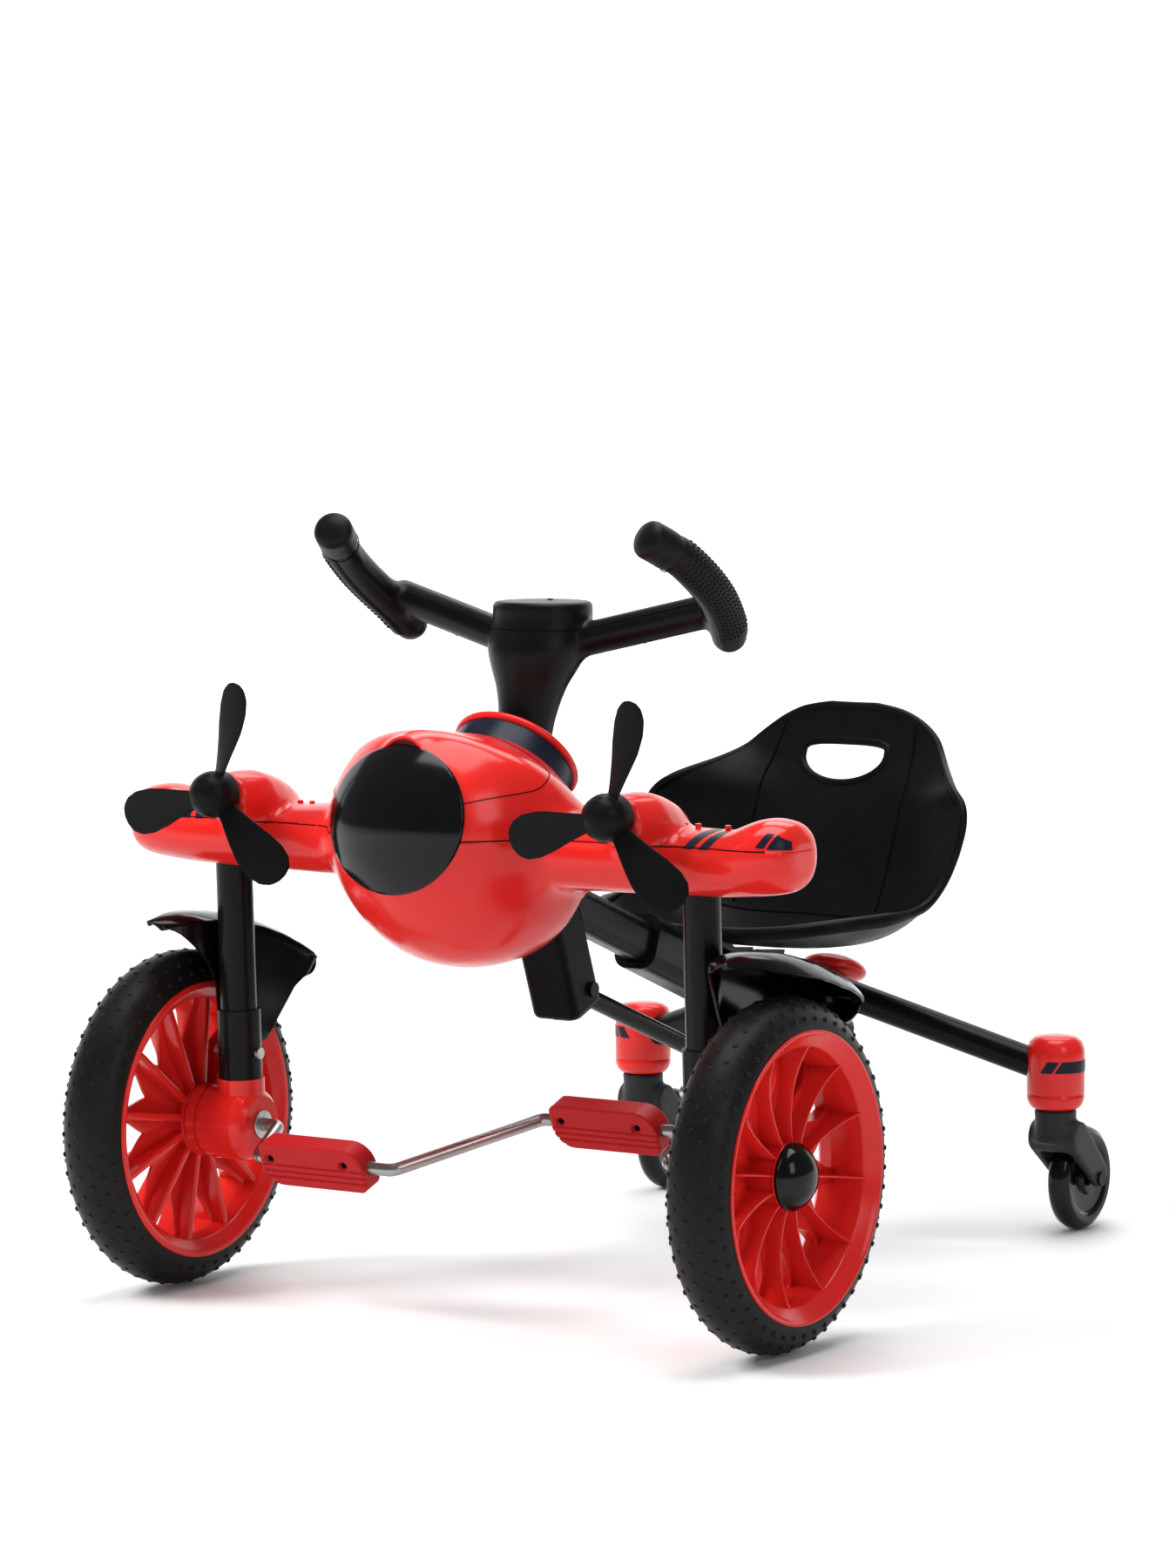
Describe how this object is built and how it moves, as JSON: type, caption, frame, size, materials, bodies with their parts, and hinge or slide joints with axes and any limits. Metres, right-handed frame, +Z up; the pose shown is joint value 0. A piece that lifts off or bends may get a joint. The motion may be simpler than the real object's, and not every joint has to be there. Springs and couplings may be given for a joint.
{
  "type": "children's tricycle",
  "caption": "Low aeroplane-styled pedal tricycle with a bucket seat, pedalled front wheels, steered front end and swivel rear casters.",
  "frame": {"origin": "on the ground under the middle of the whole tricycle's bounding box", "axes": "+Z up, +X to the rider's left, -Y the way the rider faces; the wheel axles lie along X"},
  "size_m": [0.672, 0.8604, 0.6655],
  "materials": {
    "red_gloss_plastic": "gloss",
    "red_satin_plastic": "satin",
    "black_gloss_plastic": "gloss",
    "black_grained_plastic": "fine grain, matte",
    "soft_grip_rubber": "matte",
    "black_painted_steel": "satin",
    "bare_steel": "satin",
    "zinc_plated_steel": "bright",
    "foam_tyre": "matte"
  },
  "bodies": {
    "frame": {"main_frame": "black_painted_steel", "steering_bushes": "black_grained_plastic", "column_housing_left": "black_grained_plastic", "column_housing_right": "black_grained_plastic", "brace_tube": "black_painted_steel", "brace_bolt": "zinc_plated_steel"},
    "steering": {"steering_column": "black_painted_steel", "fork_frame": "black_painted_steel", "left_leg_sleeve": "black_painted_steel", "right_leg_sleeve": "black_painted_steel", "leg_bolts": "zinc_plated_steel", "left_hub_housing": "red_gloss_plastic", "right_hub_housing": "red_gloss_plastic", "axle_bushes": "black_grained_plastic", "left_fender": "black_gloss_plastic", "right_fender": "black_gloss_plastic", "plane_upper_shell": "red_gloss_plastic", "plane_lower_shell": "red_gloss_plastic", "hood_panel": "red_gloss_plastic", "nose_dome": "black_gloss_plastic", "cockpit_collar": "black_gloss_plastic", "cockpit_rim": "red_gloss_plastic", "wing_rivets": "zinc_plated_steel", "propeller_pins": "bare_steel", "handlebar_tube": "black_painted_steel", "stem_cover": "black_grained_plastic", "handlebar_cover": "black_grained_plastic", "left_grip": "soft_grip_rubber", "right_grip": "soft_grip_rubber", "grip_caps": "soft_grip_rubber"},
    "left_propeller": {"left_propeller": "black_gloss_plastic"},
    "right_propeller": {"right_propeller": "black_gloss_plastic"},
    "crank": {"crank_rod": "bare_steel", "left_rim": "red_gloss_plastic", "left_tyre": "foam_tyre", "left_hub_cap": "black_gloss_plastic", "axle_nuts": "zinc_plated_steel"},
    "right_wheel": {"right_rim": "red_gloss_plastic", "right_tyre": "foam_tyre", "right_hub_cap": "black_gloss_plastic"},
    "left_pedal": {"left_pedal_front": "red_satin_plastic", "left_pedal_back": "red_satin_plastic", "left_pedal_screws": "zinc_plated_steel"},
    "right_pedal": {"right_pedal_front": "red_satin_plastic", "right_pedal_back": "red_satin_plastic", "right_pedal_screws": "zinc_plated_steel"},
    "rear_frame": {"rear_frame": "black_painted_steel", "brace_guide": "black_painted_steel", "seat": "black_grained_plastic", "seat_bracket": "black_painted_steel", "left_caster_cap": "red_gloss_plastic", "right_caster_cap": "red_gloss_plastic", "kingpins": "bare_steel"},
    "lock_knob": {"lock_knob": "red_gloss_plastic"},
    "left_caster": {"left_caster_fork": "black_gloss_plastic", "left_caster_axle": "bare_steel"},
    "right_caster": {"right_caster_fork": "black_gloss_plastic", "right_caster_axle": "bare_steel"},
    "left_caster_wheel": {"left_caster_wheel": "black_gloss_plastic"},
    "right_caster_wheel": {"right_caster_wheel": "black_gloss_plastic"}
  },
  "joints": [
    {"name": "steering_turn", "type": "hinge", "parent": "frame", "child": "steering", "pos_m": [0, -0.14725, 0.275], "axis": [0, -0.3584, 0.9336], "range_deg": [-30, 30]},
    {"name": "frame_length_slide", "type": "slide", "parent": "frame", "child": "rear_frame", "axis": [0, 0.9367, -0.3502], "range_m": [-0.08, 0]},
    {"name": "lock_knob_turn", "type": "hinge", "parent": "rear_frame", "child": "lock_knob", "pos_m": [0, 0.3161, 0.23124], "axis": [0, 0.3502, 0.9367], "range_deg": [-180, 180]},
    {"name": "crank_turn", "type": "hinge", "parent": "steering", "child": "crank", "pos_m": [0, -0.28525, 0.145], "axis": [1, 0, 0], "continuous": true},
    {"name": "right_wheel_spin", "type": "hinge", "parent": "steering", "child": "right_wheel", "pos_m": [-0.2985, -0.28525, 0.145], "axis": [1, 0, 0], "continuous": true},
    {"name": "left_pedal_turn", "type": "hinge", "parent": "crank", "child": "left_pedal", "pos_m": [0.1045, -0.22725, 0.162], "axis": [1, 0, 0], "continuous": true},
    {"name": "right_pedal_turn", "type": "hinge", "parent": "crank", "child": "right_pedal", "pos_m": [-0.1045, -0.34325, 0.128], "axis": [1, 0, 0], "continuous": true},
    {"name": "left_propeller_spin", "type": "hinge", "parent": "steering", "child": "left_propeller", "pos_m": [0.1935, -0.37325, 0.434], "axis": [0, 1, 0], "continuous": true},
    {"name": "right_propeller_spin", "type": "hinge", "parent": "steering", "child": "right_propeller", "pos_m": [-0.1935, -0.37325, 0.434], "axis": [0, 1, 0], "continuous": true},
    {"name": "left_caster_swivel", "type": "hinge", "parent": "rear_frame", "child": "left_caster", "pos_m": [0.2198, 0.33575, 0.1], "axis": [0, 0, 1], "continuous": true},
    {"name": "right_caster_swivel", "type": "hinge", "parent": "rear_frame", "child": "right_caster", "pos_m": [-0.2198, 0.33575, 0.1], "axis": [0, 0, 1], "continuous": true},
    {"name": "left_caster_roll", "type": "hinge", "parent": "left_caster", "child": "left_caster_wheel", "pos_m": [0.2198, 0.38275, 0.0475], "axis": [1, 0, 0], "continuous": true},
    {"name": "right_caster_roll", "type": "hinge", "parent": "right_caster", "child": "right_caster_wheel", "pos_m": [-0.2198, 0.38275, 0.0475], "axis": [1, 0, 0], "continuous": true}
  ]
}
